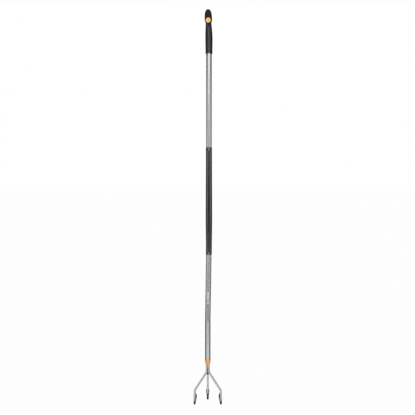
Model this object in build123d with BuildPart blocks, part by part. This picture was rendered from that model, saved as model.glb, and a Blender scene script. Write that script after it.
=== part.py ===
from build123d import *
from math import cos, radians, sin, sqrt
import os

# Long-handled three-tine hand cultivator.
# Frame: millimetres, +Z up along the shaft, +Y the way the tine blades point, +X to the right.
# The origin is the middle of the tool's footprint, level with the lowest tine.

# ---------------------------------------------------------------- driving dimensions
FIT = 0.05  # radial clearance of every fitted pair
CLEAR = 1.0  # how far a cut runs past the face it leaves by
SEAT_CUT = 6.0  # longer than any seat is deep

# shaft: a round tube with one gentle S-bend
SHAFT_Y = -45.0  # lower shaft axis, behind the footprint's middle
TUBE_R = 11.25
TUBE_WALL = 1.0
TUBE_END_Z = 200.0
TUBE_TOP_Z = 1481.0
BEND_START_Z = 357.0
BEND_OFFSET = 22.6  # upper axis from lower axis
BEND_ANGLE = 4.4
BEND_R = 350.0
BEND_AZIMUTH = 12.0  # the bend plane, turned from +Y towards +X

# soft sleeve around the middle of the shaft, swelling gently where the lower hand holds
SLEEVE_LOW_Z = 636.0
SLEEVE_TOP_Z = 1072.5
SLEEVE_EDGE = 0.35
SLEEVE_LOW_R = 12.05
SLEEVE_TOP_R = 12.15
SLEEVE_SWELL_R = 13.1
SLEEVE_SWELL_Z = 775.0

# top handle: its axis follows the shaft, then arcs back by LEAN
HANDLE_LOW_Z = 1439.5
HANDLE_AZIMUTH = 3.0  # the way its back faces, turned from +Y towards +X
COLLAR_R = 13.8
COLLAR_H = 5.0
COLLAR_FILLET = 1.1
LEAN_START_Z = 1471.0
LEAN = 12.0
NECK_RISE = 88.0  # arc length from the start of the lean to the neck
# stations of the oval grip: height above the handle's low end, width, depth
GRIP_STATIONS = [
    (COLLAR_H, 26.9, 27.0),
    (20.0, 27.3, 28.2),
    (40.0, 28.1, 29.8),
    (56.0, 28.3, 30.2),
    (72.0, 27.8, 29.4),
    (88.0, 26.3, 27.6),
    (104.0, 24.1, 25.4),
    (LEAN_START_Z - HANDLE_LOW_Z + NECK_RISE, 22.5, 24.2),
]
SOCKET_DEPTH = TUBE_TOP_Z - HANDLE_LOW_Z + CLEAR

# soft knob over the handle's tongue
KNOB_H = 48.8
KNOB_DEPTH_RATIO = 1.25
KNOB_SHIFT = 2.5  # towards the back of the hand
KNOB_GATE_R = 0.8  # flat moulding gate at the very top
TONGUE_R = 6.5
TONGUE_H = 24.0
TONGUE_GAP = 0.3  # above the tongue, inside the knob

# round badge on a boss at the front of the neck
BADGE_R = 10.25
BADGE_RISE = 8.3  # above the neck plane
BADGE_T = 3.2
BADGE_DOME = 0.9
BADGE_EDGE = 0.35
BADGE_DIMPLE_R = 2.6
BADGE_DIMPLE_DEPTH = 0.6
BOSS_R = 11.0
BOSS_REACH = 15.2
BOSS_FILLET = 0.5
BADGE_SEAT = 2.4
STEM_R = 3.0
STEM_L = 6.0
STEM_GAP = 0.5  # below the stem, in its hole

# level hanging hole through the handle, with a flat round seat at each mouth
HANG_R = 2.2
HANG_LENGTH = 22.0
HANG_RISE = 97.0  # along the handle axis from its low end
HANG_SEAT_R = 4.6

# blind rivets
RIVET_R = 1.6
RIVET_HEAD_R = 3.2
RIVET_HEAD_H = 1.1
RIVET_SEAT_GAP = 0.3  # round the head, in the handle
RIVET_TAIL_L = 2.0
RIVET_TAIL_TAPER = 0.6
RIVET_TAIL_EDGE = 0.4
HANDLE_RIVET_SEAT = 13.4  # head's underside from the shaft axis
HANDLE_RIVET_TIP = 7.25
HANDLE_RIVET_TAIL_R = 2.5
HEAD_RIVET_SEAT = TUBE_R + FIT
HEAD_RIVET_TIP = 7.2
HEAD_RIVET_TAIL_R = 1.5
HEAD_RIVET_GAP = 0.2  # below the tail, in the plug
HANDLE_RIVET_RISE = 27.0
HEAD_RIVET_Z = 223.0
HEAD_RIVET_AZIMUTH = 30.0  # from +X towards +Y, between two tine shanks

# end plug that holds the tine shanks in the tube
PLUG_R = 11.0
PLUG_SKIRT_Z = 189.8  # where the skirt turns into the dome
PLUG_TOP_Z = 245.0
PLUG_CHAMFER = 1.0
SHANK_HOLE_GAP = 0.5  # above each shank, in its hole
KEY_RISE = 2.5
KEY_HALF_WIDTH = 8.0

# tines: round rods with forged leaf blades
ROD_R = 4.0
SHANK_TOP_Z = 241.0
OUTER_SHANK_X = 4.6
OUTER_SHANK_Y = -2.4  # from the shaft axis
FORK_X = 4.4
FORK_Z = 147.5
SHOULDER_X = 54.0
SHOULDER_Z = 69.0
OUTER_HOOK_X = 54.8
CENTRE_SHANK_Y = 4.75
CENTRE_FORK_Y = 4.4
CENTRE_LEAN = 5.8
CENTRE_LIFT = 14.0  # the centre tine's lowest point above the outer ones
ROD_BEND_R = 20.0
HOOK_R = 22.0
OUTER_HOOK_RISE = 15.0  # how far the outer blades point up from level
CENTRE_HOOK_RISE = 18.0
TOE_IN = 1.5
# blade stations: share of the hook's turn, width, thickness
HOOK_STATIONS = [(0.3, 8.3, 7.6), (0.6, 7.6, 7.1), (0.85, 7.2, 6.6), (1.0, 7.6, 5.8)]
HOOK_BOTTOM_T = 6.6
# distance along the straight blade, width, thickness
BLADE_STATIONS = [
    (14.0, 9.7, 4.6),
    (28.0, 12.2, 3.8),
    (40.0, 13.5, 3.3),
    (49.0, 11.2, 2.9),
    (57.0, 6.0, 2.3),
    (62.0, 1.8, 1.5),
]

# ---------------------------------------------------------------- derived frames
bend_turn = radians(BEND_AZIMUTH)
bend_dir = Vector(sin(bend_turn), cos(bend_turn), 0)  # the way the upper shaft is offset
hand_turn = radians(HANDLE_AZIMUTH)
back_dir = Vector(sin(hand_turn), cos(hand_turn), 0)  # towards the back of the hand
across_dir = Vector(cos(hand_turn), -sin(hand_turn), 0)
shaft_foot = Vector(0, SHAFT_Y, 0)

slope = radians(BEND_ANGLE)
arc_out = BEND_R * (1 - cos(slope))
arc_up = BEND_R * sin(slope)
incline = (BEND_OFFSET - 2 * arc_out) / sin(slope)


def on_shaft(out, height):
    """Point in the bend plane, out from the lower axis."""
    return shaft_foot + bend_dir * out + Vector(0, 0, height)


half_out = BEND_R * (1 - cos(slope / 2))
half_up = BEND_R * sin(slope / 2)
bend_1 = on_shaft(0, BEND_START_Z)
bend_1_mid = bend_1 + bend_dir * half_out + Vector(0, 0, half_up)
bend_2 = on_shaft(arc_out, BEND_START_Z + arc_up)
slope_dir = bend_dir * sin(slope) + Vector(0, 0, cos(slope))
bend_3 = bend_2 + slope_dir * incline
bend_4 = bend_3 + bend_dir * arc_out + Vector(0, 0, arc_up)
bend_4_mid = bend_4 - bend_dir * half_out - Vector(0, 0, half_up)

upper_axis = shaft_foot + bend_dir * BEND_OFFSET
lean_r = NECK_RISE / radians(LEAN)


def handle_plane(rise):
    """Plane square to the handle's axis: x across the hand, y to its back, z up the axis."""
    straight = LEAN_START_Z - HANDLE_LOW_Z
    turn = min(max(rise - straight, 0), NECK_RISE) / lean_r
    beyond = max(rise - straight - NECK_RISE, 0)
    back = -lean_r * (1 - cos(turn)) - beyond * sin(turn)
    up = HANDLE_LOW_Z + min(rise, straight) + lean_r * sin(turn) + beyond * cos(turn)
    axis = Vector(0, 0, 1) * cos(turn) - bend_dir * sin(turn)
    return Plane(origin=upper_axis + bend_dir * back + Vector(0, 0, up), x_dir=across_dir, z_dir=axis)


def facing_front(plane, rise=0.0):
    """Plane through the handle's axis that faces the front of the hand."""
    middle = plane.origin + plane.z_dir * rise
    return Plane(origin=middle, x_dir=plane.x_dir, z_dir=plane.y_dir * -1)


neck_rise = LEAN_START_Z - HANDLE_LOW_Z + NECK_RISE
neck = handle_plane(neck_rise)
badge_plane = facing_front(neck, BADGE_RISE)
hang_plane = Plane(origin=handle_plane(HANG_RISE).origin, x_dir=across_dir, z_dir=back_dir * -1)
handle_rivet_plane = Plane(
    origin=upper_axis + Vector(0, 0, HANDLE_LOW_Z + HANDLE_RIVET_RISE), x_dir=across_dir, z_dir=back_dir
)
rivet_turn = radians(HEAD_RIVET_AZIMUTH)
head_rivet_plane = Plane(
    origin=shaft_foot + Vector(0, 0, HEAD_RIVET_Z),
    x_dir=(-sin(rivet_turn), cos(rivet_turn), 0),
    z_dir=(cos(rivet_turn), sin(rivet_turn), 0),
)


def profile_plane(base):
    """Plane for an outline turned about base's own axis: x outward, y up that axis."""
    return Plane(origin=base.origin, x_dir=base.x_dir, z_dir=base.y_dir * -1)


def dome_arc(radius, base, height):
    """Arc from (radius, base) up to the axis, square to the axis where it meets it."""
    ball = (radius**2 + height**2) / (2 * height)
    mid_x = radius / 2
    mid_y = base + height - ball + sqrt(ball**2 - mid_x**2)
    return ThreePointArc((radius, base), (mid_x, mid_y), (0, base + height))


def save(piece, label):
    piece.part.label = label
    export_step(piece.part, f"parts/{label}.step")


os.makedirs("parts", exist_ok=True)

# ---------------------------------------------------------------- shaft tube
key_r = (KEY_HALF_WIDTH**2 + KEY_RISE**2) / (2 * KEY_RISE)
key_centre_z = TUBE_END_Z + KEY_RISE - key_r
key_plane = Plane(origin=shaft_foot, x_dir=(1, 0, 0), z_dir=(0, -1, 0))

with BuildPart() as shaft_tube:
    with BuildLine() as tube_axis:
        Line(on_shaft(0, TUBE_END_Z), bend_1)
        ThreePointArc(bend_1, bend_1_mid, bend_2)
        Line(bend_2, bend_3)
        ThreePointArc(bend_3, bend_4_mid, bend_4)
        Line(bend_4, on_shaft(BEND_OFFSET, TUBE_TOP_Z))
    with BuildSketch(Plane(origin=tube_axis.line @ 0, x_dir=(1, 0, 0), z_dir=(0, 0, 1))):
        Circle(TUBE_R)
        Circle(TUBE_R - TUBE_WALL, mode=Mode.SUBTRACT)
    sweep(path=tube_axis.line)
    # arched notches in the lower end, front and back, for the plug's keys
    with BuildSketch(key_plane):
        with Locations((0, key_centre_z)):
            Circle(key_r)
    extrude(amount=TUBE_R + CLEAR, both=True, mode=Mode.SUBTRACT)
    # one rivet hole at each end
    for rivet_plane in (handle_rivet_plane, head_rivet_plane):
        with BuildSketch(rivet_plane):
            Circle(RIVET_R + FIT)
        extrude(amount=TUBE_R + CLEAR, mode=Mode.SUBTRACT)
save(shaft_tube, "shaft_tube")

# ---------------------------------------------------------------- grip sleeve
sleeve_drop = (bend_3.Z - SLEEVE_LOW_Z) / cos(slope)
sleeve_low = bend_3 - slope_dir * sleeve_drop
sleeve_top = on_shaft(BEND_OFFSET, SLEEVE_TOP_Z)
swell_rise = SLEEVE_SWELL_Z - bend_4.Z
sleeve_rise = SLEEVE_TOP_Z - bend_4.Z

with BuildPart() as grip_sleeve:
    # plain stretch around the bend
    with BuildLine() as sleeve_bend:
        Line(sleeve_low, bend_3)
        ThreePointArc(bend_3, bend_4_mid, bend_4)
    sleeve_foot = Plane(origin=sleeve_low, x_dir=across_dir, z_dir=slope_dir)
    with BuildSketch(sleeve_foot):
        Circle(SLEEVE_LOW_R)
    sweep(path=sleeve_bend.line)
    chamfer(grip_sleeve.edges().filter_by(GeomType.CIRCLE).sort_by(Axis.Z)[0], length=SLEEVE_EDGE)
    # straight stretch with the swell
    with BuildSketch(profile_plane(Plane(origin=bend_4))):
        with BuildLine():
            side = Spline(
                (SLEEVE_LOW_R, 0),
                (SLEEVE_SWELL_R, swell_rise),
                (SLEEVE_TOP_R, sleeve_rise - SLEEVE_EDGE),
                tangents=((0, 1), (0, 1)),
            )
            Polyline(side @ 1, (SLEEVE_TOP_R - SLEEVE_EDGE, sleeve_rise), (0, sleeve_rise), (0, 0), side @ 0)
        make_face()
    revolve(axis=Axis(bend_4, (0, 0, 1)))
    # bore that follows the tube
    with BuildLine() as sleeve_axis:
        Line(sleeve_low, bend_3)
        ThreePointArc(bend_3, bend_4_mid, bend_4)
        Line(bend_4, sleeve_top)
    with BuildSketch(sleeve_foot):
        Circle(TUBE_R + FIT)
    sweep(path=sleeve_axis.line, mode=Mode.SUBTRACT)
save(grip_sleeve, "grip_sleeve")

# ---------------------------------------------------------------- handle body
with BuildPart() as handle_body:
    # round collar, a little proud of the grip
    with BuildSketch(handle_plane(0)):
        Circle(COLLAR_R)
    extrude(amount=COLLAR_H)
    fillet(handle_body.edges().sort_by(Axis.Z)[0], radius=COLLAR_FILLET)
    # oval grip
    for rise, width, depth in GRIP_STATIONS:
        with BuildSketch(handle_plane(rise)):
            Ellipse(width / 2, depth / 2)
    loft()
    # boss that carries the badge, and its seat and stem hole
    with BuildSketch(badge_plane):
        Circle(BOSS_R)
    extrude(amount=BOSS_REACH)
    boss_rims = handle_body.edges(Select.LAST).filter_by(GeomType.CIRCLE)
    fillet(boss_rims.sort_by(Axis(badge_plane.origin, badge_plane.z_dir))[-1], radius=BOSS_FILLET)
    with BuildSketch(badge_plane.offset(BOSS_REACH - BADGE_SEAT)):
        Circle(BADGE_R + FIT)
    extrude(amount=BADGE_SEAT + CLEAR, mode=Mode.SUBTRACT)
    with BuildSketch(badge_plane.offset(BOSS_REACH - BADGE_SEAT - STEM_L - STEM_GAP)):
        Circle(STEM_R + FIT)
    extrude(amount=STEM_L + 2 * STEM_GAP, mode=Mode.SUBTRACT)
    # tongue inside the knob
    with BuildSketch(neck):
        Circle(TONGUE_R)
    extrude(amount=TONGUE_H)
    # socket for the tube
    with BuildSketch(handle_plane(0)):
        Circle(TUBE_R + FIT)
    extrude(amount=SOCKET_DEPTH, mode=Mode.SUBTRACT)
    # hanging hole between two flat seats
    with BuildSketch(hang_plane):
        Circle(HANG_R)
    extrude(amount=HANG_LENGTH, both=True, mode=Mode.SUBTRACT)
    for side in (1, -1):
        with BuildSketch(hang_plane.offset(side * HANG_LENGTH / 2)):
            Circle(HANG_SEAT_R)
        extrude(amount=side * SEAT_CUT, mode=Mode.SUBTRACT)
    # rivet hole and head seat at the back
    with BuildSketch(handle_rivet_plane):
        Circle(RIVET_R + FIT)
    extrude(amount=HANDLE_RIVET_SEAT + SEAT_CUT, mode=Mode.SUBTRACT)
    with BuildSketch(handle_rivet_plane.offset(HANDLE_RIVET_SEAT - FIT)):
        Circle(RIVET_HEAD_R + RIVET_SEAT_GAP)
    extrude(amount=SEAT_CUT, mode=Mode.SUBTRACT)
save(handle_body, "handle_body")

# ---------------------------------------------------------------- soft knob
with BuildPart() as egg:
    with BuildSketch(Plane.XZ):
        with BuildLine():
            egg_side = Spline(
                (KNOB_GATE_R, KNOB_H),
                (7.5, 45.4),
                (12.1, 37.0),
                (13.8, 27.5),
                (14.3, 17.0),
                (14.3, 9.0),
                (13.5, 3.2),
                (11.9, 0),
                tangents=((1, 0), (-1, -1)),
            )
            Polyline(egg_side @ 1, (0, 0), (0, KNOB_H), egg_side @ 0)
        make_face()
    revolve(axis=Axis.Z)
    scale(by=(1, KNOB_DEPTH_RATIO, 1))
egg_in_place = neck.location * Pos(0, KNOB_SHIFT, 0) * egg.part

with BuildPart() as handle_knob:
    add(egg_in_place)
    with BuildSketch(neck):
        Circle(TONGUE_R + FIT)
    extrude(amount=TONGUE_H + TONGUE_GAP, mode=Mode.SUBTRACT)
    with BuildSketch(badge_plane):
        Circle(BOSS_R + FIT)
    extrude(amount=BOSS_REACH + SEAT_CUT, mode=Mode.SUBTRACT)
save(handle_knob, "handle_knob")

# ---------------------------------------------------------------- badge
badge_seat_plane = badge_plane.offset(BOSS_REACH - BADGE_SEAT)
badge_rim = BADGE_T - BADGE_DOME

with BuildPart() as badge:
    with BuildSketch(profile_plane(badge_seat_plane)):
        with BuildLine():
            Polyline((0, BADGE_T), (0, -STEM_L), (STEM_R, -STEM_L), (STEM_R, 0))
            Polyline((STEM_R, 0), (BADGE_R, 0), (BADGE_R, badge_rim))
            Line((BADGE_R, badge_rim), (BADGE_R - BADGE_EDGE, badge_rim + BADGE_EDGE))
            dome_arc(BADGE_R - BADGE_EDGE, badge_rim + BADGE_EDGE, BADGE_DOME - BADGE_EDGE)
        make_face()
    revolve(axis=Axis(badge_seat_plane.origin, badge_seat_plane.z_dir))
    with BuildSketch(badge_seat_plane.offset(BADGE_T - BADGE_DIMPLE_DEPTH)):
        Circle(BADGE_DIMPLE_R)
    extrude(amount=BADGE_DIMPLE_DEPTH * 2, mode=Mode.SUBTRACT)
save(badge, "badge")


# ---------------------------------------------------------------- blind rivets
def make_rivet(label, plane, seat, tip, tail_r):
    """Domed rivet along plane's axis: head underside at seat, shank to a tail of radius tail_r at tip."""
    edge = RIVET_HEAD_H / 4
    with BuildPart() as rivet:
        with BuildSketch(profile_plane(plane)):
            with BuildLine():
                Polyline(
                    (0, seat + RIVET_HEAD_H),
                    (0, tip),
                    (tail_r - RIVET_TAIL_EDGE, tip),
                    (tail_r, tip + RIVET_TAIL_EDGE),
                    (tail_r, tip + RIVET_TAIL_L),
                    (RIVET_R, tip + RIVET_TAIL_L + RIVET_TAIL_TAPER),
                    (RIVET_R, seat),
                    (RIVET_HEAD_R, seat),
                    (RIVET_HEAD_R, seat + edge),
                )
                dome_arc(RIVET_HEAD_R, seat + edge, RIVET_HEAD_H - edge)
            make_face()
        revolve(axis=Axis(plane.origin, plane.z_dir))
    save(rivet, label)


make_rivet("handle_rivet", handle_rivet_plane, HANDLE_RIVET_SEAT, HANDLE_RIVET_TIP, HANDLE_RIVET_TAIL_R)
make_rivet("head_rivet", head_rivet_plane, HEAD_RIVET_SEAT, HEAD_RIVET_TIP, HEAD_RIVET_TAIL_R)


# ---------------------------------------------------------------- tines
def make_tine(label, rod_plane, corners, heading, hook_rise):
    """Round rod through corners, then a hook and a leaf blade along heading, hook_rise above level."""
    with BuildPart() as tine:
        with BuildLine(rod_plane) as rod_axis:
            FilletPolyline(*corners, radius=ROD_BEND_R)
        with BuildSketch(Plane(origin=rod_axis.line @ 0, z_dir=rod_axis.line % 0)):
            Circle(ROD_R)
        sweep(path=rod_axis.line)
        hook_start = rod_axis.line @ 1
        down = (rod_axis.line % 1).normalized()
        ahead = (heading - down * heading.dot(down)).normalized()
        across = down.cross(ahead)
        lift = radians(hook_rise)
        blade_dir = (heading * cos(lift) + Vector(0, 0, sin(lift))).normalized()
        full_turn = radians(down.get_angle(blade_dir))

        def hook_plane(share, beyond=0.0):
            turn = full_turn * share
            along = down * cos(turn) + ahead * sin(turn)
            place = hook_start + ahead * (HOOK_R * (1 - cos(turn))) + down * (HOOK_R * sin(turn))
            return Plane(origin=place + along * beyond, x_dir=across, z_dir=along)

        with BuildSketch(hook_plane(0)):
            Circle(ROD_R)
        for share, width, thickness in HOOK_STATIONS:
            with BuildSketch(hook_plane(share)):
                Ellipse(width / 2, thickness / 2)
        for beyond, width, thickness in BLADE_STATIONS:
            with BuildSketch(hook_plane(1, beyond)):
                Ellipse(width / 2, thickness / 2)
        loft()
    save(tine, label)


outer_plane = Plane(origin=(0, SHAFT_Y + OUTER_SHANK_Y, 0), x_dir=(1, 0, 0), z_dir=(0, -1, 0))
centre_plane = Plane(origin=shaft_foot, x_dir=(0, 1, 0), z_dir=(1, 0, 0))
outer_hook_z = HOOK_R + HOOK_BOTTOM_T / 2
centre_slope = radians(CENTRE_LEAN)
centre_hook_z = CENTRE_LIFT + HOOK_BOTTOM_T / 2 + HOOK_R * (1 - sin(centre_slope))
centre_hook_y = CENTRE_FORK_Y + (FORK_Z - centre_hook_z) * sin(centre_slope) / cos(centre_slope)


def outer_corners(side):
    return [
        (side * OUTER_SHANK_X, SHANK_TOP_Z),
        (side * FORK_X, FORK_Z),
        (side * SHOULDER_X, SHOULDER_Z),
        (side * OUTER_HOOK_X, outer_hook_z),
    ]


def toed_in(side):
    return Vector(-side * sin(radians(TOE_IN)), cos(radians(TOE_IN)), 0)


centre_corners = [
    (CENTRE_SHANK_Y, SHANK_TOP_Z),
    (CENTRE_FORK_Y, FORK_Z),
    (centre_hook_y, centre_hook_z),
]
make_tine("tine_left", outer_plane, outer_corners(-1), toed_in(-1), OUTER_HOOK_RISE)
make_tine("tine_right", outer_plane, outer_corners(1), toed_in(1), OUTER_HOOK_RISE)
make_tine("tine_centre", centre_plane, centre_corners, Vector(0, 1, 0), CENTRE_HOOK_RISE)

# one plane at the top of each shank, looking down it
shank_planes = []
for plane, corners in (
    (outer_plane, outer_corners(-1)),
    (outer_plane, outer_corners(1)),
    (centre_plane, centre_corners),
):
    top = plane.from_local_coords(corners[0])
    fork = plane.from_local_coords(corners[1])
    shank_planes.append(Plane(origin=top, z_dir=fork - top))

# ---------------------------------------------------------------- end plug
spigot_r = TUBE_R - TUBE_WALL - FIT

with BuildPart() as keys:
    with BuildSketch(Plane(origin=shaft_foot + Vector(0, 0, TUBE_END_Z))):
        Circle(TUBE_R - FIT)
    extrude(amount=KEY_RISE)
    with BuildSketch(key_plane):
        with Locations((0, key_centre_z)):
            Circle(key_r - FIT)
    extrude(amount=TUBE_R, both=True, mode=Mode.INTERSECT)

with BuildPart() as head_plug:
    with BuildSketch(profile_plane(Plane(origin=shaft_foot))):
        with BuildLine():
            dome_low = PLUG_SKIRT_Z - PLUG_R
            RadiusArc((0, dome_low), (PLUG_R, PLUG_SKIRT_Z), -PLUG_R)
            Polyline(
                (PLUG_R, PLUG_SKIRT_Z),
                (PLUG_R, TUBE_END_Z),
                (spigot_r, TUBE_END_Z),
                (spigot_r, PLUG_TOP_Z - PLUG_CHAMFER),
                (spigot_r - PLUG_CHAMFER, PLUG_TOP_Z),
                (0, PLUG_TOP_Z),
                (0, dome_low),
            )
        make_face()
    revolve(axis=Axis(shaft_foot, (0, 0, 1)))
    add(keys.part)
    # a blind hole round each shank
    for shank in shank_planes:
        with BuildSketch(shank.offset(-SHANK_HOLE_GAP)):
            Circle(ROD_R + FIT)
        extrude(amount=SHANK_TOP_Z - FORK_Z, mode=Mode.SUBTRACT)
    with BuildSketch(head_rivet_plane.offset(HEAD_RIVET_TIP - HEAD_RIVET_GAP)):
        Circle(RIVET_R + FIT)
    extrude(amount=TUBE_R, mode=Mode.SUBTRACT)
save(head_plug, "head_plug")

# ---------------------------------------------------------------- weld beads at the neck
# place from the shaft axis, low and high ends, radius
WELD_BEADS = [
    ((0.0, -4.9), 152.0, 164.0, 2.6),
    ((5.9, 3.9), 153.0, 174.0, 2.3),
    ((-5.9, 3.9), 153.0, 174.0, 2.3),
]
with BuildPart() as neck_weld:
    for (x, y), low, high, radius in WELD_BEADS:
        bead_foot = shaft_foot + Vector(x, y, low)
        bead_h = high - low
        half = radius * sqrt(0.5)
        with BuildSketch(profile_plane(Plane(origin=bead_foot))):
            with BuildLine():
                ThreePointArc((0, 0), (half, radius - half), (radius, radius))
                Line((radius, radius), (radius, bead_h - radius))
                ThreePointArc((radius, bead_h - radius), (half, bead_h - radius + half), (0, bead_h))
                Line((0, bead_h), (0, 0))
            make_face()
        revolve(axis=Axis(bead_foot, (0, 0, 1)))
    for shank in shank_planes:
        with BuildSketch(shank):
            Circle(ROD_R)
        extrude(amount=SHANK_TOP_Z - FORK_Z, mode=Mode.SUBTRACT)
save(neck_weld, "neck_weld")
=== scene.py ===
"""Looks for the long-handled three-tine cultivator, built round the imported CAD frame. Metres, +Z up."""
import math

import bmesh
import bpy
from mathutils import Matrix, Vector


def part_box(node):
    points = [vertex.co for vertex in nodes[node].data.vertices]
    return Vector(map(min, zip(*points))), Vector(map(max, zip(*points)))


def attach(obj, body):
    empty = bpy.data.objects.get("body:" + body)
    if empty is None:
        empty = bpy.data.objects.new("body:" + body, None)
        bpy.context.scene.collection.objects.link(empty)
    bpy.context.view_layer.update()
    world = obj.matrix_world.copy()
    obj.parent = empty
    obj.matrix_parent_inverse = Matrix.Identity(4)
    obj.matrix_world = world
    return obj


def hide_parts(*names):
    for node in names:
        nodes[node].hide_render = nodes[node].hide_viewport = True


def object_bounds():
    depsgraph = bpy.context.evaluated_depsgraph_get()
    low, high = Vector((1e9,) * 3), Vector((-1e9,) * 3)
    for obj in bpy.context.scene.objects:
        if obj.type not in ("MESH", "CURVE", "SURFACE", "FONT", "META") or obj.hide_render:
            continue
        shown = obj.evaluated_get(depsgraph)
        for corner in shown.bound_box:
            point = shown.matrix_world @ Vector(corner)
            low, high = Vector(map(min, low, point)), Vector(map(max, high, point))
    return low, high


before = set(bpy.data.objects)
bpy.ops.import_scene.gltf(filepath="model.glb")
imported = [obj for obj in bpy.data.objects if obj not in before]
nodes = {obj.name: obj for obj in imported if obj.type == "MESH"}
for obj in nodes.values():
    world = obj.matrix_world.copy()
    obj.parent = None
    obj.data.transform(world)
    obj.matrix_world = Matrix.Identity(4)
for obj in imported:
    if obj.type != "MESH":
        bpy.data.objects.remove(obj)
cad_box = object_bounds()

# ------------------------------------------------------------------ named sizes
MM = 0.001
UP = Vector((0, 0, 1))
SEGMENTS = 128  # facets round the tube, the sleeve, the badge's ring and the neck bead
FINE_STEP = 6 * MM  # between rings in the bend and along the sleeve
COARSE_STEP = 5 * FINE_STEP  # between rings on the straight tube
FIT = 0.05 * MM  # gap between the tube and the sleeve's bore

# the shaft: straight up, aside in an S-bend, and straight up again
TUBE_R = 11.25 * MM
TUBE_WALL = 1.0 * MM
EDGE = 0.3 * MM  # chamfer on the tube's cut ends
NOTCH_HALF_WIDTH = 8 * MM
NOTCH_RISE = 2.5 * MM
BEND_START_Z = 357 * MM
BEND_R = 350 * MM  # of the bend's two arcs
BEND_ANGLE = math.radians(4.4)  # from upright, between the arcs

# the sleeve: even through the bend, then swelling and narrowing again
SLEEVE_LOW_R = 12.05 * MM
SLEEVE_SWELL_R = 13.1 * MM
SLEEVE_TOP_R = 12.15 * MM
SLEEVE_SWELL_Z = 775 * MM
SLEEVE_LIP = 1.0 * MM
SLEEVE_GROOVE_AT = 7 * MM  # from either end
SLEEVE_GROOVE_DEPTH = 0.35 * MM
SLEEVE_GROOVE_HALF = 0.8 * MM
SEAM_H = 0.14 * MM

# the handle: upright at first, then leaning back over the bend's offset in one long arc
LEAN_START_Z = 1471 * MM
LEAN = math.radians(12)
LEAN_LENGTH = 88 * MM  # of the arc
LEAN_R = LEAN_LENGTH / LEAN
HAND_TURN = math.radians(3)  # the way the handle's back faces, from +Y towards +X
BADGE_AXIS_RISE = 8.3 * MM  # above the neck
BADGE_FACE_R = 8.4 * MM  # inside the badge's rim of painted shade
# within this the badge's central hollow is coloured a darker orange, as painted shade
BADGE_DIMPLE_R = 2.5 * MM
BADGE_FADE = 0.4 * MM  # from one orange to the next
HANG_Z = 1536.2 * MM
HANG_SEAT_R = 3.4 * MM  # the grip is matt within this of the hanging hole's axis, as painted shade
HANG_SEAT_FADE = 1.0 * MM
GRIP_IOR = 1.7
# the weaker reflection round the hanging hole, a painted shade
MATT_IOR = 1.3

# the tines: pale above and dark below an edge whose height depends on Y
DARK_LOW_Z = 18 * MM  # fully dark below this, where Y is DARK_FROM_Y or less
DARK_HIGH_Z = 36 * MM  # no dark above this, at the same Y
DARK_FROM_Y = -45 * MM
DARK_RUN = 0.9  # climb of the edge for each unit of Y beyond DARK_FROM_Y
DARK_WANDER = 12 * MM  # unevenness of the edge
CENTRE_LIFT = 14 * MM  # the centre tine's edge is this much higher


# ------------------------------------------------------------------ the shaft's and the handle's axes
tube_low, tube_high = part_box("shaft_tube")
lower_axis = Vector((tube_low.x + TUBE_R, tube_low.y + TUBE_R, 0))
upper_axis = Vector((tube_high.x - TUBE_R, tube_high.y - TUBE_R, 0))
bend_offset = (upper_axis - lower_axis).length
bend_dir = (upper_axis - lower_axis).normalized()
across = Vector((math.cos(HAND_TURN), -math.sin(HAND_TURN), 0))
hand_back = Vector((math.sin(HAND_TURN), math.cos(HAND_TURN), 0))

arc_up = BEND_R * math.sin(BEND_ANGLE)
arc_out = BEND_R * (1 - math.cos(BEND_ANGLE))
incline_up = (bend_offset - 2 * arc_out) / math.tan(BEND_ANGLE)
BEND_HEIGHTS = (
    BEND_START_Z,
    BEND_START_Z + arc_up,
    BEND_START_Z + arc_up + incline_up,
    BEND_START_Z + 2 * arc_up + incline_up,
)


def shaft_at(z):
    """Centre of the shaft at a height, and the direction it runs there."""
    low, slope_start, slope_end, high = BEND_HEIGHTS
    if z <= low:
        out, angle = 0.0, 0.0
    elif z < slope_start:
        angle = math.asin((z - low) / BEND_R)
        out = BEND_R * (1 - math.cos(angle))
    elif z <= slope_end:
        out, angle = arc_out + (z - slope_start) * math.tan(BEND_ANGLE), BEND_ANGLE
    elif z < high:
        angle = math.asin((high - z) / BEND_R)
        out = bend_offset - BEND_R * (1 - math.cos(angle))
    else:
        out, angle = bend_offset, 0.0
    return lower_axis + bend_dir * out + UP * z, bend_dir * math.sin(angle) + UP * math.cos(angle)


def handle_at(z):
    """Centre of the handle at a height up to the neck, and the direction its axis runs there."""
    angle = 0.0 if z < LEAN_START_Z else math.asin(min((z - LEAN_START_Z) / LEAN_R, math.sin(LEAN)))
    aside = LEAN_R * (1 - math.cos(angle))
    return upper_axis - bend_dir * aside + UP * z, UP * math.cos(angle) - bend_dir * math.sin(angle)


neck_z = LEAN_START_Z + LEAN_R * math.sin(LEAN)
neck, neck_axis = handle_at(neck_z)
badge_centre = neck + neck_axis * BADGE_AXIS_RISE
badge_out = (neck_axis.cross(across)).normalized() * -1
badge_side = neck_axis.cross(badge_out).normalized()
hang_centre = handle_at(HANG_Z)[0]


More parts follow.
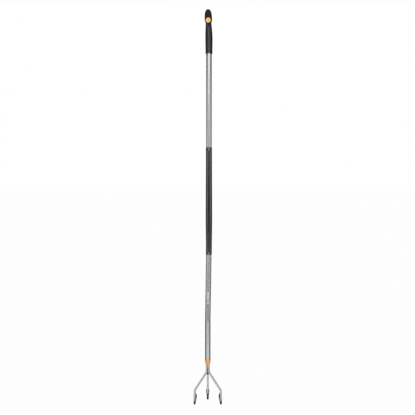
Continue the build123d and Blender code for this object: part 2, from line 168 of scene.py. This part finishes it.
# ------------------------------------------------------------------ material helpers
class Tree:
    """A node tree, with short ways to add and wire nodes."""

    def __init__(self, tree):
        self.tree = tree

    def add(self, kind, **settings):
        node = self.tree.nodes.new(kind)
        for key, value in settings.items():
            setattr(node, key, value)
        return node

    def feed(self, socket, value):
        """Wires another node's output into socket, or sets socket to a number, a place or a colour."""
        if isinstance(value, bpy.types.NodeSocket):
            self.tree.links.new(value, socket)
        elif socket.type == "RGBA":
            socket.default_value = (*value, 1.0)
        else:
            socket.default_value = value

    def put(self, node, **values):
        """Feeds a node's inputs by name, with _ for a space."""
        for key, value in values.items():
            self.feed(node.inputs[key.replace("_", " ")], value)
        return node

    def math(self, operation, *values):
        node = self.add("ShaderNodeMath", operation=operation)
        for socket, value in zip(node.inputs, values):
            self.feed(socket, value)
        return node.outputs[0]

    def fade_out(self, value, low, high):
        """1 up to low, falling smoothly to 0 at high."""
        node = self.add("ShaderNodeMapRange", interpolation_type="SMOOTHSTEP")
        for socket, number in zip(node.inputs, (value, low, high, 1.0, 0.0)):
            self.feed(socket, number)
        return node.outputs[0]


def colour_mix_inputs(node):
    """The factor and the two colours of a Mix node that is set to colours."""
    return node.inputs[0], node.inputs[6], node.inputs[7]


class Material(Tree):
    """A material's node tree, with the textures that the looks are made of."""

    def __init__(self, name):
        self.material = bpy.data.materials.new(name)
        self.material.use_nodes = True
        super().__init__(self.material.node_tree)
        self.bsdf = self.tree.nodes["Principled BSDF"]

    def position(self):
        return self.add("ShaderNodeNewGeometry").outputs["Position"]

    def stretched(self, scale=(1.0, 1.0, 1.0)):
        """The object's own coordinates, scaled along each axis."""
        coordinates = self.add("ShaderNodeTexCoord").outputs["Object"]
        return self.put(self.add("ShaderNodeMapping"), Vector=coordinates, Scale=scale).outputs["Vector"]

    def noise(self, vector, scale, detail=3.0, roughness=0.5):
        node = self.add("ShaderNodeTexNoise")
        self.put(node, Vector=vector, Scale=scale, Detail=detail, Roughness=roughness)
        return node.outputs["Fac"]

    def ramp(self, value, stops):
        """Colour ramp from (place, grey or colour) stops."""
        node = self.add("ShaderNodeValToRGB")
        elements = node.color_ramp.elements
        while len(elements) < len(stops):
            elements.new(0.5)
        for element, (place, colour) in zip(elements, stops):
            if isinstance(colour, (int, float)):
                colour = (colour, colour, colour)
            element.position = place
            element.color = (*colour, 1.0)
        self.feed(node.inputs["Fac"], value)
        return node.outputs["Color"]

    def mix(self, factor, a, b):
        """Colour a where factor is 0, and b where it is 1."""
        node = self.add("ShaderNodeMix", data_type="RGBA")
        for socket, value in zip(colour_mix_inputs(node), (factor, a, b)):
            self.feed(socket, value)
        return node.outputs[2]

    def mix_shaders(self, factor, a, b):
        """Shader a where factor is 0, and b where it is 1."""
        node = self.add("ShaderNodeMixShader")
        for socket, value in zip(node.inputs, (factor, a.outputs[0], b.outputs[0])):
            self.feed(socket, value)
        return node

    def vector_math(self, operation, *values):
        node = self.add("ShaderNodeVectorMath", operation=operation)
        for socket, value in zip(node.inputs, values):
            self.feed(socket, value)
        return node

    def near_axis(self, point, axis, radius, softness):
        """1 within radius of the line through point along axis, fading to 0 over softness."""
        offset = self.vector_math("SUBTRACT", self.position(), point).outputs[0]
        across_axis = self.vector_math("CROSS_PRODUCT", offset, axis).outputs[0]
        away = self.vector_math("LENGTH", across_axis).outputs["Value"]
        return self.fade_out(away, radius, radius + softness)

    def bump(self, height, distance, strength=1.0):
        node = self.add("ShaderNodeBump")
        self.put(node, Height=height, Distance=distance, Strength=strength)
        return node.outputs["Normal"]


def finish_with(obj, material):
    """Every face of obj takes this material."""
    obj.data.materials.clear()
    obj.data.materials.append(material)


# ------------------------------------------------------------------ materials
def anodised_aluminium():
    """Satin drawn tube: fine streaks along its length, faint handling marks and a broad soft sheen."""
    m = Material("anodised_aluminium")
    streaks = m.noise(m.stretched((1100.0, 1100.0, 3.0)), 1.0, 4.0, 0.6)
    cloud = m.noise(m.stretched((40.0, 40.0, 9.0)), 1.0, 3.0)
    scratches = m.noise(m.stretched((260.0, 260.0, 60.0)), 1.0, 6.0, 0.7)
    tone = m.ramp(streaks, [(0.3, (0.54, 0.54, 0.535)), (0.7, (0.57, 0.57, 0.565))])
    tone = m.mix(m.ramp(cloud, [(0.4, 0.0), (0.75, 0.3)]), tone, (0.50, 0.51, 0.485))
    tone = m.mix(m.ramp(scratches, [(0.66, 0.0), (0.74, 0.35)]), tone, (0.66, 0.66, 0.66))
    rough = m.ramp(streaks, [(0.2, 0.25), (0.8, 0.3)])
    m.put(m.bsdf, Base_Color=tone, Metallic=0.78, Roughness=rough)
    m.put(m.bsdf, Normal=m.bump(streaks, 0.00001, 0.2))
    return m.material


def grained_plastic(name, colour, roughness, grain, ior=1.5, grain_depth=0.00005):
    """Moulded plastic or rubber: a fine pebble grain, and paler rubbed patches."""
    m = Material(name)
    pebble = m.noise(m.stretched(), grain, 2.0)
    wear = m.noise(m.stretched((24.0, 24.0, 10.0)), 1.0, 4.0, 0.6)
    tone = m.mix(m.ramp(wear, [(0.45, 0.0), (0.75, 0.3)]), colour, tuple(c * 1.6 for c in colour))
    rough = m.ramp(wear, [(0.3, roughness - 0.04), (0.7, roughness + 0.06)])
    m.put(m.bsdf, Base_Color=tone, Roughness=rough, IOR=ior)
    m.put(m.bsdf, Normal=m.bump(pebble, grain_depth, 0.4))
    return m


def sleeve_plastic():
    """The sleeve's smooth black."""
    m = grained_plastic("sleeve_black", (0.009, 0.009, 0.0095), 0.24, 1400.0, ior=2.0, grain_depth=0.00003)
    return m.material


def handle_plastic():
    """The grip's black, made matt round the hanging hole as painted shade."""
    m = grained_plastic("grip_black", (0.003, 0.003, 0.0035), 0.25, 1400.0, ior=GRIP_IOR, grain_depth=0.00003)
    # 1 round the hanging hole, where the reflection is lowered as painted shade
    hole_painted_shade = m.near_axis(hang_centre, hand_back, HANG_SEAT_R, HANG_SEAT_FADE)
    m.put(m.bsdf, IOR=m.math("SUBTRACT", GRIP_IOR, m.math("MULTIPLY", hole_painted_shade, GRIP_IOR - MATT_IOR)))
    return m.material


def knob_rubber():
    """The knob's dull charcoal."""
    m = grained_plastic("knob_charcoal", (0.012, 0.012, 0.0145), 0.75, 1100.0, ior=1.35, grain_depth=0.0001)
    return m.material


def mark_print():
    """The pale print of the mark on the shaft."""
    return grained_plastic("mark_white", (0.62, 0.62, 0.61), 0.5, 900.0).material


def orange_plastic(name, colour):
    """Glossy moulded plastic, a little uneven in colour."""
    m = Material(name)
    cloud = m.noise(m.stretched((60.0, 60.0, 60.0)), 1.0, 2.0)
    tone = m.mix(m.ramp(cloud, [(0.4, 0.0), (0.7, 0.3)]), colour, tuple(c * 0.85 for c in colour))
    m.put(m.bsdf, Base_Color=tone, Roughness=0.3, IOR=1.5, Subsurface_Weight=0.05)
    m.put(m.bsdf, Normal=m.bump(m.noise(m.stretched(), 900.0), 0.00003, 0.4))
    return m


def plug_plastic():
    """The end plug's orange."""
    return orange_plastic("orange_gloss", (0.90, 0.33, 0.03)).material


def badge_plastic():
    """The badge's orange, paler than the plug's as a painted highlight, with painted shade in the central
    hollow and round the rim.
    """
    # this orange is paler than the plug's: a painted highlight
    m = orange_plastic("badge_orange", (0.90, 0.46, 0.07))
    # outside face the rim takes a deep orange: painted shade
    face = m.near_axis(badge_centre, badge_out, BADGE_FACE_R, BADGE_FADE)
    # the darker orange in the central hollow is painted shade
    shaded_dimple = m.near_axis(badge_centre, badge_out, BADGE_DIMPLE_R, BADGE_FADE)
    plain = m.bsdf.inputs["Base Color"].links[0].from_socket
    tone = m.mix(face, (0.42, 0.13, 0.01), plain)
    m.put(m.bsdf, Base_Color=m.mix(shaded_dimple, tone, (0.72, 0.33, 0.04)))
    return m.material


def badge_ring_plastic():
    """The paler orange of the badge's ring, a painted highlight."""
    return orange_plastic("badge_painted_highlight", (0.96, 0.63, 0.22)).material


def coated_steel(name, lift):
    """Pale grey coating above and dark steel below an edge that is raised by lift."""
    m = Material(name)
    speck = m.noise(m.stretched(), 260.0, 5.0, 0.65)
    cloud = m.noise(m.stretched(), 34.0, 4.0, 0.6)
    hammer = m.noise(m.stretched(), 120.0, 2.0)
    axes = m.put(m.add("ShaderNodeSeparateXYZ"), Vector=m.position()).outputs
    beyond = m.math("MAXIMUM", m.math("SUBTRACT", axes["Y"], DARK_FROM_Y), 0.0)
    level = m.math("SUBTRACT", axes["Z"], m.math("MULTIPLY", beyond, DARK_RUN))
    wander = m.math("MULTIPLY", m.math("SUBTRACT", cloud, 0.5), DARK_WANDER)
    # 1 below the edge, where the steel is dark, and 0 above it
    dark_below_edge = m.fade_out(m.math("ADD", level, wander), DARK_LOW_Z + lift, DARK_HIGH_Z + lift)
    pale = m.ramp(cloud, [(0.3, (0.47, 0.475, 0.47)), (0.7, (0.52, 0.525, 0.52))])
    pale = m.mix(m.ramp(speck, [(0.66, 0.0), (0.78, 0.15)]), pale, (0.45, 0.45, 0.45))
    dark = m.ramp(cloud, [(0.3, (0.018, 0.018, 0.019)), (0.7, (0.045, 0.044, 0.042))])
    dark = m.mix(m.ramp(speck, [(0.62, 0.0), (0.72, 0.4)]), dark, (0.16, 0.155, 0.15))
    m.put(m.bsdf, Base_Color=m.mix(dark_below_edge, pale, dark), Metallic=0.5)
    m.put(m.bsdf, Roughness=m.ramp(speck, [(0.3, 0.36), (0.7, 0.5)]))
    height = m.math("ADD", speck, m.math("MULTIPLY", m.math("MULTIPLY", hammer, dark_below_edge), 3.0))
    m.put(m.bsdf, Normal=m.bump(height, 0.00003, 0.3))
    return m.material


def outer_tine_steel():
    return coated_steel("coated_steel", 0.0)


def centre_tine_steel():
    return coated_steel("coated_steel_centre", CENTRE_LIFT)


def weld_steel():
    """Rough, nearly black weld metal."""
    m = Material("weld_steel")
    cloud = m.noise(m.stretched(), 300.0, 4.0)
    tone = m.ramp(cloud, [(0.3, (0.008, 0.008, 0.008)), (0.7, (0.03, 0.028, 0.026))])
    m.put(m.bsdf, Base_Color=tone, Metallic=0.2, Roughness=0.6)
    return m.material


def rivet_metal():
    """Bare grey metal, a little mottled."""
    m = Material("rivet_metal")
    cloud = m.noise(m.stretched(), 500.0, 4.0)
    tone = m.ramp(cloud, [(0.3, (0.45, 0.45, 0.45)), (0.7, (0.6, 0.6, 0.6))])
    m.put(m.bsdf, Base_Color=tone, Metallic=1.0, Roughness=0.4)
    return m.material


aluminium = anodised_aluminium()
sleeve_black = sleeve_plastic()
grip_black = handle_plastic()
knob_charcoal = knob_rubber()
mark_white = mark_print()
orange = plug_plastic()
badge_orange = badge_plastic()
# the badge ring's pale orange is a painted highlight
badge_painted_highlight = badge_ring_plastic()
outer_steel = outer_tine_steel()
centre_steel = centre_tine_steel()
weld = weld_steel()
rivet = rivet_metal()


# ------------------------------------------------------------------ finishes of the carried-over pieces
kept_looks = {
    "handle_body": grip_black,
    "handle_knob": knob_charcoal,
    "badge": badge_orange,
    "head_plug": orange,
    "tine_left": outer_steel,
    "tine_centre": centre_steel,
    "tine_right": outer_steel,
    "handle_rivet": rivet,
    "head_rivet": rivet,
}
for name, material in kept_looks.items():
    finish_with(nodes[name], material)


# ------------------------------------------------------------------ mesh helpers
PLATE_REACH = 60 * MM  # where the rays that lay a plate on its host start from
SHARP_ANGLE = math.radians(40)


def smooth_step(t):
    """0 at 0 and 1 at 1, level at both ends."""
    t = min(max(t, 0.0), 1.0)
    return t * t * (3 - 2 * t)


def heights(low, high, step):
    """Even heights from low to high, about step apart."""
    count = max(1, round((high - low) / step))
    return [low + (high - low) * k / count for k in range(count + 1)]


def make_piece(name, points, faces, material, slot, *stands_for):
    """A smooth-shaded piece on the tool, with its finish and the CAD nodes that it stands for."""
    mesh = bpy.data.meshes.new(name)
    mesh.from_pydata([tuple(p) for p in points], [], faces)
    built = bmesh.new()
    built.from_mesh(mesh)
    bmesh.ops.recalc_face_normals(built, faces=built.faces)
    built.to_mesh(mesh)
    built.free()
    for face in mesh.polygons:
        face.use_smooth = True
    mesh.set_sharp_from_angle(angle=SHARP_ANGLE)
    piece = bpy.data.objects.new(name, mesh)
    bpy.context.scene.collection.objects.link(piece)
    mesh.materials.append(material)
    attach(piece, "root")
    if stands_for:
        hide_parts(*stands_for)
    return piece


def band_faces(ring_count, around, closed_rows, start=0):
    """Quads between neighbouring rings; closed_rows joins the last ring to the first."""
    faces = []
    for row in range(ring_count if closed_rows else ring_count - 1):
        a = start + row * around
        b = start + ((row + 1) % ring_count) * around
        for k in range(around):
            n = (k + 1) % around
            faces.append((a + k, a + n, b + n, b + k))
    return faces


def shaft_ring(z, radius_at):
    """One ring square to the shaft; radius_at(angle) gives (radius, lift along the shaft)."""
    centre, along = shaft_at(z)
    right = (across - along * across.dot(along)).normalized()
    behind = along.cross(right)
    ring = []
    for k in range(SEGMENTS):
        angle = 2 * math.pi * k / SEGMENTS
        radius, lift = radius_at(angle)
        ring.append(centre + (right * math.cos(angle) + behind * math.sin(angle)) * radius + along * lift)
    return ring


def shaft_shell(name, rings, material, slot, *stands_for):
    """A closed shell from rings round the shaft: up its outside, and back down its bore."""
    points = [p for ring in rings for p in ring]
    return make_piece(name, points, band_faces(len(rings), SEGMENTS, True), material, slot, *stands_for)


def plate_on(name, host, grid, outward, proud, sunk, material, slot, closed_rows=False):
    """A thin plate laid on host: every point of grid drops on to host's surface, against outward.

    closed_rows joins the last row to the first.
    """
    top, bottom = [], []
    for row in grid:
        for point in row:
            hit, place, _, _ = host.ray_cast(point + outward * PLATE_REACH, outward * -1)
            place = place if hit else point
            top.append(place + outward * proud)
            bottom.append(place - outward * sunk)
    rows, wide = len(grid), len(grid[0])
    count = rows * wide
    faces = []
    spans = rows if closed_rows else rows - 1
    for r in range(spans):
        a, b = r * wide, ((r + 1) % rows) * wide
        for k in range(wide - 1):
            faces.append((a + k, a + k + 1, b + k + 1, b + k))
            faces.append((count + a + k, count + b + k, count + b + k + 1, count + a + k + 1))
        for k in (0, wide - 1):
            faces.append((a + k, b + k, count + b + k, count + a + k))
    if not closed_rows:
        for r in (0, rows - 1):
            for k in range(wide - 1):
                a = r * wide + k
                faces.append((a, a + 1, count + a + 1, count + a))
    make_piece(name, top + bottom, faces, material, slot)


# ------------------------------------------------------------------ drawn tube
# rise above the low end, and how much of the notch's arch the ring there still follows
NOTCH_FADE = ((EDGE, 1.0), (4 * MM, 0.8), (9 * MM, 0.3), (16 * MM, 0.0))
TUBE_PLAIN_FROM = 24 * MM  # evenly spaced rings start this far above the low end
TUBE_PLAIN_TO = 8 * MM  # and stop this far below the high end


def drawn_tube():
    """The bent aluminium tube, with chamfered ends and an arched notch front and back in its lower end."""
    low, high = tube_low.z, tube_high.z
    notch_r = (NOTCH_HALF_WIDTH**2 + NOTCH_RISE**2) / (2 * NOTCH_RISE)

    def notch(angle):
        x = TUBE_R * math.cos(angle)
        if abs(x) >= NOTCH_HALF_WIDTH:
            return 0.0
        return math.sqrt(notch_r**2 - x**2) - (notch_r - NOTCH_RISE)

    def even(radius):
        return lambda angle: (radius, 0.0)

    def notched(radius, fade):
        return lambda angle: (radius, notch(angle) * fade)

    bore = TUBE_R - TUBE_WALL
    middle = heights(low + TUBE_PLAIN_FROM, BEND_HEIGHTS[0], COARSE_STEP)
    middle += heights(BEND_HEIGHTS[0], BEND_HEIGHTS[3], FINE_STEP)[1:]
    middle += heights(BEND_HEIGHTS[3], high - TUBE_PLAIN_TO, COARSE_STEP)[1:]
    outer = [shaft_ring(low, notched(TUBE_R - EDGE, 1.0))]
    outer += [shaft_ring(low + rise, notched(TUBE_R, fade)) for rise, fade in NOTCH_FADE]
    outer += [shaft_ring(z, even(TUBE_R)) for z in middle]
    outer += [shaft_ring(high - EDGE, even(TUBE_R)), shaft_ring(high, even(TUBE_R - EDGE))]
    inner = [shaft_ring(high, even(bore + EDGE)), shaft_ring(high - EDGE, even(bore))]
    inner += [shaft_ring(z, even(bore)) for z in reversed(middle)]
    inner += [shaft_ring(low + rise, notched(bore, fade)) for rise, fade in reversed(NOTCH_FADE)]
    inner.append(shaft_ring(low, notched(bore + EDGE, 1.0)))
    return shaft_shell("shaft_tube_drawn", outer + inner, aluminium, "shaft_metal", "shaft_tube")


# ------------------------------------------------------------------ moulded sleeve
SLEEVE_SLANT = 1 * MM  # the low rim is slanted, and its middle is this much above its lowest point
SLEEVE_PLAIN_FROM = 12 * MM  # evenly spaced rings stay this far from both ends
LIP_STEPS = 5  # that round off a lip
GROOVE_STEPS = 4  # on each side of the groove's middle


def moulded_sleeve():
    """The soft sleeve: rounded lips, a fine groove near each end, a gentle swell and two mould seams."""
    low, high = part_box("grip_sleeve")[0].z + SLEEVE_SLANT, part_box("grip_sleeve")[1].z
    bend_end = BEND_HEIGHTS[3]

    def profile(z):
        if z < bend_end:
            radius = SLEEVE_LOW_R
        elif z < SLEEVE_SWELL_Z:
            share = smooth_step((z - bend_end) / (SLEEVE_SWELL_Z - bend_end))
            radius = SLEEVE_LOW_R + (SLEEVE_SWELL_R - SLEEVE_LOW_R) * share
        else:
            share = smooth_step((z - SLEEVE_SWELL_Z) / (high - SLEEVE_SWELL_Z))
            radius = SLEEVE_SWELL_R + (SLEEVE_TOP_R - SLEEVE_SWELL_R) * share
        from_end = min(z - low, high - z)
        if from_end < SLEEVE_LIP:
            radius -= SLEEVE_LIP - math.sqrt(SLEEVE_LIP**2 - (SLEEVE_LIP - from_end) ** 2)
        groove = abs(from_end - SLEEVE_GROOVE_AT) / SLEEVE_GROOVE_HALF
        if groove < 1:
            radius -= SLEEVE_GROOVE_DEPTH * math.cos(groove * math.pi / 2)
        return radius

    def ring_at(z):
        radius = profile(z)
        near_end = min(z - low, high - z) < SLEEVE_LIP

        def radius_at(angle):
            on_seam = abs(math.sin(angle)) < math.sin(math.pi / SEGMENTS)
            return radius + (SEAM_H if on_seam and not near_end else 0.0), 0.0

        return shaft_ring(z, radius_at)

    def bore(angle):
        return TUBE_R + FIT, 0.0

    lip = [SLEEVE_LIP * (1 - math.cos(math.pi / 2 * k / LIP_STEPS)) for k in range(LIP_STEPS + 1)]
    groove_turns = range(-GROOVE_STEPS, GROOVE_STEPS + 1)
    groove = [SLEEVE_GROOVE_AT + SLEEVE_GROOVE_HALF * k / GROOVE_STEPS for k in groove_turns]
    rises = lip + groove + heights(SLEEVE_PLAIN_FROM, high - low - SLEEVE_PLAIN_FROM, FINE_STEP)
    rises += [high - low - rise for rise in reversed(lip + groove)]
    outer = [ring_at(low + rise) for rise in rises]
    inner = [shaft_ring(z, bore) for z in reversed(heights(low, high, FINE_STEP))]
    shaft_shell("grip_sleeve_moulded", outer + inner, sleeve_black, "sleeve_plastic", "grip_sleeve")


# ------------------------------------------------------------------ plain mark on the lower shaft
# low and high end of two short dashes and of the bar above them
MARK_SPANS = ((438 * MM, 444 * MM), (448 * MM, 453 * MM), (456 * MM, 486 * MM))
MARK_HALF_WIDTH = 2.6 * MM
MARK_END_SHARE = 0.72  # share of its width at each end
MARK_END = 0.1 * MM  # a row nearer to an end than this is its end row
MARK_STEP = 2 * MM
MARK_COLUMNS = 6  # on each side of its middle
MARK_PROUD = 0.06 * MM
MARK_SUNK = 0.2 * MM


def shaft_mark(tube):
    """A plain printed bar with two short dashes below it."""
    for number, (low, high) in enumerate(MARK_SPANS, start=1):
        grid = []
        for z in heights(low, high, MARK_STEP):
            at_end = min(z - low, high - z) < MARK_END
            half = MARK_HALF_WIDTH * (MARK_END_SHARE if at_end else 1.0)
            centre = shaft_at(z)[0]
            columns = range(-MARK_COLUMNS, MARK_COLUMNS + 1)
            grid.append([centre + across * (half * k / MARK_COLUMNS) for k in columns])
        name = f"shaft_mark_{number}"
        plate_on(name, tube, grid, hand_back * -1, MARK_PROUD, MARK_SUNK, mark_white, "shaft_metal")


# ------------------------------------------------------------------ handle details
SEAM_FROM = 7 * MM  # above the handle's low end
SEAM_TO = 5 * MM  # below the neck
SEAM_STEP = 3 * MM
SEAM_HALF_WIDTH = 0.35 * MM
RAISED = 0.16 * MM  # how far seams and the badge's ring stand proud
GRIP_SEAM_SUNK = 0.3 * MM
BADGE_RING_SUNK = 0.25 * MM
BADGE_RING_RADII = (4.4, 4.8, 5.8, 6.8, 7.8, 8.2)  # millimetres
NECK_BEAD_R = 0.55 * MM
NECK_BEAD_DROP = 0.5 * MM  # below the neck
NECK_BEAD_POINTS = 10  # round the bead
NECK_REACH = 40 * MM  # where the rays that find the neck start from
NECK_R = 11 * MM  # used where a ray finds nothing


def handle_seams():
    """The fine parting line down each side of the grip."""
    body = nodes["handle_body"]
    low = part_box("handle_body")[0].z + SEAM_FROM
    for side, label in ((1, "right"), (-1, "left")):
        grid = []
        for z in heights(low, neck_z - SEAM_TO, SEAM_STEP):
            centre = handle_at(z)[0]
            grid.append([centre + hand_back * (SEAM_HALF_WIDTH * k) for k in (-1, 0, 1)])
        name = f"grip_seam_{label}"
        plate_on(name, body, grid, across * side, RAISED, GRIP_SEAM_SUNK, grip_black, "handle_plastic")


def badge_ring():
    """A plain raised ring on the badge, coloured as a painted highlight."""
    grid = []
    for k in range(SEGMENTS):
        angle = 2 * math.pi * k / SEGMENTS
        spoke = badge_side * math.cos(angle) + neck_axis * math.sin(angle)
        grid.append([badge_centre + spoke * (radius * MM) for radius in BADGE_RING_RADII])
    plate_on(
        "badge_ring",
        nodes["badge"],
        grid,
        badge_out,
        RAISED,
        BADGE_RING_SUNK,
        badge_painted_highlight,
        "orange_plastic",
        closed_rows=True,
    )


def neck_ring():
    """The soft bead where the knob meets the grip, laid round the neck."""
    points = []
    for k in range(SEGMENTS):
        angle = 2 * math.pi * k / SEGMENTS
        spoke = across * math.cos(angle) + neck_axis.cross(across) * math.sin(angle)
        start = neck - neck_axis * NECK_BEAD_DROP + spoke * NECK_REACH
        hit, place, _, _ = nodes["handle_body"].ray_cast(start, spoke * -1)
        place = place if hit else neck + spoke * NECK_R
        for j in range(NECK_BEAD_POINTS):
            turn = 2 * math.pi * j / NECK_BEAD_POINTS
            out, up = NECK_BEAD_R * math.cos(turn), NECK_BEAD_R * math.sin(turn)
            points.append(place + spoke * out + neck_axis * up)
    faces = band_faces(SEGMENTS, NECK_BEAD_POINTS, True)
    make_piece("neck_bead", points, faces, knob_charcoal, "knob_rubber")


# ------------------------------------------------------------------ weld beads
WELD_AROUND = 24  # points round a bead
WELD_STEP = 0.35 * MM  # between rings
WELD_RIPPLE = 0.07  # share of the radius
WELD_PITCH = 1.7 * MM  # between ripples
WELD_BLUNT = 0.45  # the smaller, the blunter a bead's ends
WELD_TILT = 0.25 * MM  # the +X side of a ring is this much above its middle
SIDE_BEAD_IN = 2.3 * MM  # a side bead's middle, in from the welds' outer face
SIDE_BEAD_BACK = 3.9 * MM  # behind the shaft's axis


def weld_beads():
    """Rippled beads in the grooves between the shanks, and a bigger one in the fork."""
    low_box, high_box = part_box("neck_weld")
    side_y = lower_axis.y + SIDE_BEAD_BACK
    # place, low end, high end, radius
    beads = (
        (Vector((0, lower_axis.y - 4.6 * MM, 0)), 150.0 * MM, 165.0 * MM, 2.5 * MM),
        (Vector((high_box.x - SIDE_BEAD_IN, side_y, 0)), 152.5 * MM, 175.0 * MM, 2.4 * MM),
        (Vector((low_box.x + SIDE_BEAD_IN, side_y, 0)), 152.5 * MM, 175.0 * MM, 2.4 * MM),
        (Vector((0, lower_axis.y - 3.4 * MM, 0)), 138.0 * MM, 152.5 * MM, 3.9 * MM),
    )
    points, faces = [], []
    for foot, low, high, radius in beads:
        levels = heights(low, high, WELD_STEP)
        first = len(points)
        points.append(foot + UP * low)
        for z in levels[1:-1]:
            share = (z - low) / (high - low)
            ripple = 1 + WELD_RIPPLE * math.cos((z - low) / WELD_PITCH * 2 * math.pi)
            r = radius * math.sin(math.pi * share) ** WELD_BLUNT * ripple
            for k in range(WELD_AROUND):
                angle = 2 * math.pi * k / WELD_AROUND
                tilt = WELD_TILT * math.cos(angle)
                points.append(foot + Vector((r * math.cos(angle), r * math.sin(angle), z + tilt)))
        points.append(foot + UP * high)
        faces += band_faces(len(levels) - 2, WELD_AROUND, False, first + 1)
        last = len(points) - 1
        for k in range(WELD_AROUND):
            n = (k + 1) % WELD_AROUND
            faces.append((first, first + 1 + n, first + 1 + k))
            faces.append((last, last - WELD_AROUND + k, last - WELD_AROUND + n))
    make_piece("weld_beads", points, faces, weld, "weld_steel", "neck_weld")


tube = drawn_tube()
moulded_sleeve()
bpy.context.view_layer.update()
shaft_mark(tube)
handle_seams()
badge_ring()
neck_ring()
weld_beads()

# ------------------------------------------------------------------ studio
# Each soft light is (azimuth, elevation, half width, half height, softness, strength). The angles are in
# degrees from the tool: azimuth 0 is straight towards the camera, and positive is to the camera's right.
SOFT_LIGHTS = {
    "front_top": (0, 34, 30, 27, 7, 3.4),
    "left_strip": (-66, -2, 17, 7, 6, 1.75),
    "right_strip": (60, -2, 14, 7, 6, 1.7),
    "low_front": (0, -46, 60, 28, 6, 1.45),
    "back": (180, 15, 28, 35, 10, 0.7),
}
ROOM_FILL = 0.02
WHITE = (1.0, 1.0, 1.0)
FLOOR_HALF = 12.0
FLOOR_COLOUR = (0.9, 0.9, 0.9)
FLOOR_ROUGHNESS = 0.8
FLOOR_GLOW = 0.97  # share of the floor's brightness that the lights don't change
CAMERA_X = -1.1 * MM
CAMERA_DISTANCE = 2.3  # in front of the end plug's middle
CAMERA_Z = 1.0725
CAMERA_TILT = 5.97  # degrees down
CAMERA_LENS = 49.94  # millimetres
CAMERA_SENSOR = 36.0  # millimetres
CAMERA_CLIP = 100.0


def studio_world():
    """White for the camera. For everything else, a dim room with the soft lights in it."""
    world = bpy.data.worlds.new("studio")
    bpy.context.scene.world = world
    world.use_nodes = True
    w = Tree(world.node_tree)

    def soft_edge(angle, centre, half, softness):
        turn = w.math("SUBTRACT", angle, math.radians(centre))
        away = w.math("ABSOLUTE", w.math("WRAP", turn, math.pi, -math.pi))
        return w.fade_out(away, math.radians(half - softness), math.radians(half + softness))

    direction = w.add("ShaderNodeTexCoord").outputs["Generated"]
    x, y, z = w.put(w.add("ShaderNodeSeparateXYZ"), Vector=direction).outputs
    azimuth = w.math("ARCTAN2", x, w.math("MULTIPLY", y, -1.0))
    elevation = w.math("ARCSINE", z)
    total = ROOM_FILL
    for around, up, half_width, half_height, softness, strength in SOFT_LIGHTS.values():
        wide = soft_edge(azimuth, around, half_width, softness)
        tall = soft_edge(elevation, up, half_height, softness)
        total = w.math("ADD", w.math("MULTIPLY", w.math("MULTIPLY", wide, tall), strength), total)
    brightness = w.add("ShaderNodeMix")
    # a Mix node that is set to numbers keeps its factor and its two numbers in inputs 0, 2 and 3
    seen, unseen_value, seen_value = brightness.inputs[0], brightness.inputs[2], brightness.inputs[3]
    w.feed(seen, w.add("ShaderNodeLightPath").outputs["Is Camera Ray"])
    w.feed(unseen_value, total)
    w.feed(seen_value, 1.0)
    w.put(w.tree.nodes["Background"], Color=WHITE, Strength=brightness.outputs[0])


def studio_floor():
    """A pale floor that only the camera sees. All other light passes through it."""
    low = cad_box[0].z
    h = FLOOR_HALF
    mesh = bpy.data.meshes.new("floor")
    mesh.from_pydata([(-h, -h, low), (h, -h, low), (h, h, low), (-h, h, low)], [], [(0, 1, 2, 3)])
    floor = bpy.data.objects.new("floor", mesh)
    bpy.context.scene.collection.objects.link(floor)
    m = Material("floor_white")
    m.put(m.bsdf, Base_Color=FLOOR_COLOUR, Roughness=FLOOR_ROUGHNESS)
    glow = m.put(m.add("ShaderNodeEmission"), Color=WHITE, Strength=1.0)
    pale = m.mix_shaders(FLOOR_GLOW, m.bsdf, glow)
    seen = m.add("ShaderNodeLightPath").outputs["Is Camera Ray"]
    shown = m.mix_shaders(seen, m.add("ShaderNodeBsdfTransparent"), pale)
    m.put(m.tree.nodes["Material Output"], Surface=shown.outputs[0])
    finish_with(floor, m.material)


def studio_camera():
    """A camera in front of the tool that looks slightly down at it."""
    data = bpy.data.cameras.new("camera")
    data.lens = CAMERA_LENS
    data.sensor_width = CAMERA_SENSOR
    data.clip_end = CAMERA_CLIP
    camera = bpy.data.objects.new("camera", data)
    plug_low, plug_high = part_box("head_plug")
    plug_y = (plug_low.y + plug_high.y) / 2
    camera.location = (CAMERA_X, plug_y - CAMERA_DISTANCE, CAMERA_Z)
    camera.rotation_euler = (math.radians(90 - CAMERA_TILT), 0, 0)
    bpy.context.scene.collection.objects.link(camera)
    bpy.context.scene.camera = camera


studio_floor()
studio_world()
studio_camera()
bpy.context.scene.view_settings.view_transform = "Standard"
